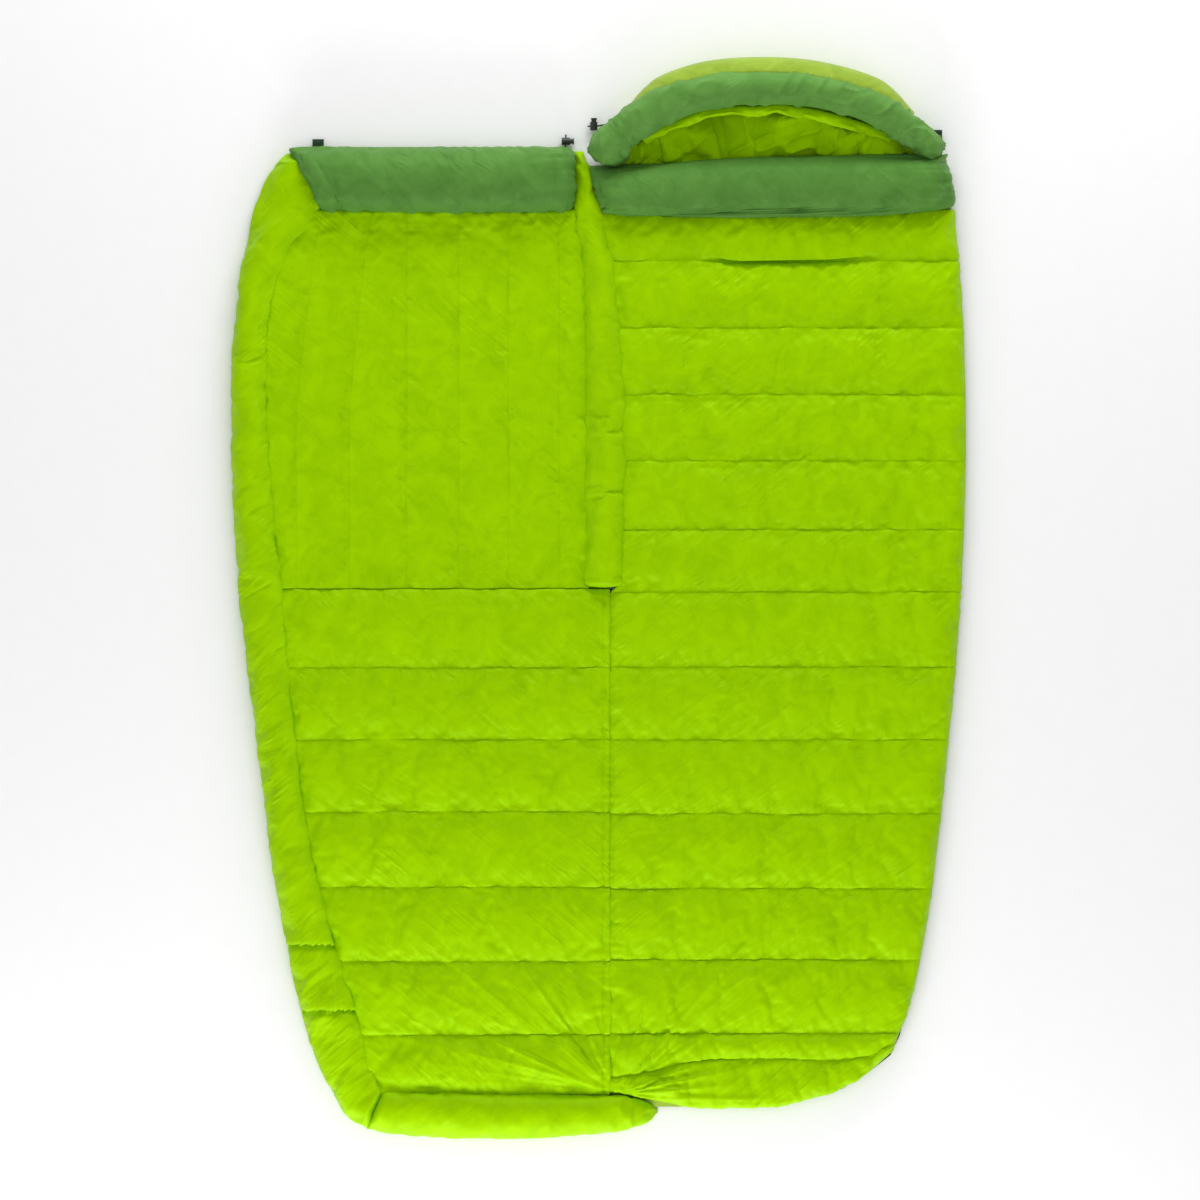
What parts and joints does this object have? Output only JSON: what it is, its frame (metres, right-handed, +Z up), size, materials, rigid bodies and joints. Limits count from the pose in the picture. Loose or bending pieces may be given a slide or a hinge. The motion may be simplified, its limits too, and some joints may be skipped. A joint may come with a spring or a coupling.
{
  "type": "camp quilt",
  "caption": "Hooded down-filled camp quilt opened flat, lining up, with a fold-over front panel, draft tubes over its zips, padded collars and a padded hood ring.",
  "frame": {"origin": "on the ground, under the middle of the opened quilt's bounding box", "axes": "+Y to the hood, +X to the right as seen from above with the hood up, +Z up"},
  "size_m": [1.4179, 2.0859, 0.1151],
  "materials": {
    "lining_nylon": "down-proof lining nylon, lime, soft calendered sheen",
    "shell_nylon": "shell nylon, olive lime, fine ripstop, soft sheen",
    "collar_nylon": "down-proof nylon, leaf green, soft sheen",
    "down_fill": "loose down",
    "baffle_mesh": "open mesh",
    "zip_tape": "woven polyester tape with a nylon coil",
    "zip_metal": "die-cast zinc, dark painted",
    "drawcord": "braided polyester cord",
    "lock_plastic": "moulded acetal",
    "webbing": "woven nylon webbing"
  },
  "bodies": {
    "back_panel": {"back_shell": "shell_nylon", "back_lining": "lining_nylon", "back_fill_1": "down_fill", "back_fill_2": "down_fill", "back_fill_3": "down_fill", "back_fill_4": "down_fill", "back_fill_5": "down_fill", "back_fill_6": "down_fill", "back_fill_7": "down_fill", "back_fill_8": "down_fill", "back_fill_9": "down_fill", "back_fill_10": "down_fill", "back_fill_11": "down_fill", "back_fill_12": "down_fill", "back_fill_13": "down_fill", "back_fill_14": "down_fill", "back_baffles": "baffle_mesh", "neck_collar": "collar_nylon", "foot_tube_end": "lining_nylon", "hood_pad": "lining_nylon", "hood_ring": "collar_nylon", "hood_crown": "shell_nylon", "centre_zip_back_tape": "zip_tape", "side_zip_back_tape": "zip_tape", "hood_cord": "drawcord", "hood_cord_lock": "lock_plastic", "neck_tab": "webbing"},
    "front_panel": {"front_shell": "shell_nylon", "chest_lining": "lining_nylon", "leg_lining": "lining_nylon", "chest_fill_1": "down_fill", "chest_fill_2": "down_fill", "chest_fill_3": "down_fill", "chest_fill_4": "down_fill", "chest_fill_5": "down_fill", "chest_fill_6": "down_fill", "chest_fill_7": "down_fill", "leg_fill_1": "down_fill", "leg_fill_2": "down_fill", "leg_fill_3": "down_fill", "leg_fill_4": "down_fill", "leg_fill_5": "down_fill", "leg_fill_6": "down_fill", "leg_fill_7": "down_fill", "front_baffles": "baffle_mesh", "front_collar": "collar_nylon", "centre_draft_tube": "lining_nylon", "side_draft_tube": "lining_nylon", "foot_draft_tube": "lining_nylon", "centre_zip_front_tape": "zip_tape", "side_zip_front_tape": "zip_tape", "collar_cord": "drawcord", "collar_cord_lock": "lock_plastic", "collar_tab": "webbing"},
    "centre_slider": {"centre_slider": "zip_metal"},
    "centre_pull": {"centre_pull": "zip_metal"},
    "side_slider": {"side_slider": "zip_metal"},
    "side_pull": {"side_pull": "zip_metal"},
    "collar_cord_button": {"collar_cord_button": "lock_plastic"},
    "hood_cord_button": {"hood_cord_button": "lock_plastic"}
  },
  "joints": [
    {"name": "front_panel_fold", "type": "hinge", "parent": "back_panel", "child": "front_panel", "pos_m": [0.033, 0, 0.072], "axis": [0, 1, 0], "range_deg": [0, 179]},
    {"name": "centre_zip_slide", "type": "slide", "parent": "front_panel", "child": "centre_slider", "axis": [0.0619, -0.9981, 0], "range_m": [0, 0.69]},
    {"name": "centre_pull_lift", "type": "hinge", "parent": "centre_slider", "child": "centre_pull", "pos_m": [-0.02126, 0.74, 0.0066], "axis": [0.9981, 0.0619, 0], "range_deg": [0, 70]},
    {"name": "side_zip_slide", "type": "hinge", "parent": "front_panel", "child": "side_slider", "pos_m": [2.076, 0.232, 0], "axis": [0, 0, 1], "range_deg": [0, 21.5]},
    {"name": "side_pull_lift", "type": "hinge", "parent": "side_slider", "child": "side_pull", "pos_m": [-0.62705, 0.738, 0.0066], "axis": [0.9829, -0.184, 0], "range_deg": [0, 70]},
    {"name": "collar_lock_press", "type": "slide", "parent": "front_panel", "child": "collar_cord_button", "axis": [-1, 0, 0], "range_m": [0, 0.004], "stiffness_N_per_m": 250},
    {"name": "hood_lock_press", "type": "slide", "parent": "back_panel", "child": "hood_cord_button", "axis": [0, -1, 0], "range_m": [0, 0.004], "stiffness_N_per_m": 250}
  ]
}
